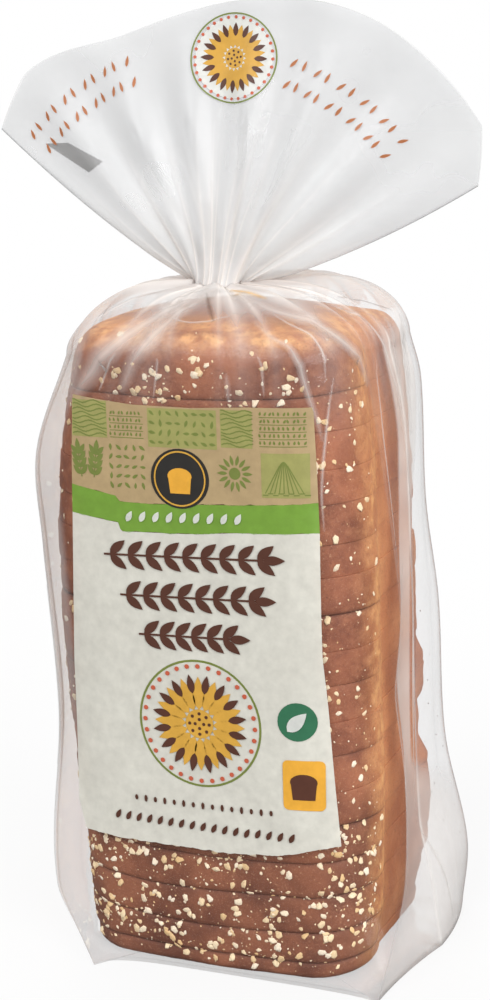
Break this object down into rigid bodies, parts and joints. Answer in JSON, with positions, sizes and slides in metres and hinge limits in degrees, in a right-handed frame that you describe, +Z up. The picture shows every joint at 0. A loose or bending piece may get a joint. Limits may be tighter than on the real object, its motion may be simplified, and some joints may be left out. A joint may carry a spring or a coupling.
{
  "type": "bagged bread loaf",
  "caption": "Sliced, oat-topped sandwich loaf standing in a clear film bag, gathered above the loaf, with a fanned-out open end.",
  "frame": {"origin": "middle of the loaf's base, on the flat face that the bag stands on", "axes": "+Z up along the loaf towards the gather, -Y towards the printed front, +X to the right seen from the front"},
  "size_m": [0.1814, 0.1109, 0.358],
  "materials": {
    "film": "clear, slightly hazy polyethylene film",
    "print": "printed fields of cream, tan, green and brown on the film",
    "crust": "baked wholemeal crust, matt with a faint sheen",
    "crumb": "open wholemeal crumb, matt",
    "oats": "dry rolled oat flakes, matt"
  },
  "bodies": {
    "root": {"bag": "film"}
  },
  "joints": []
}
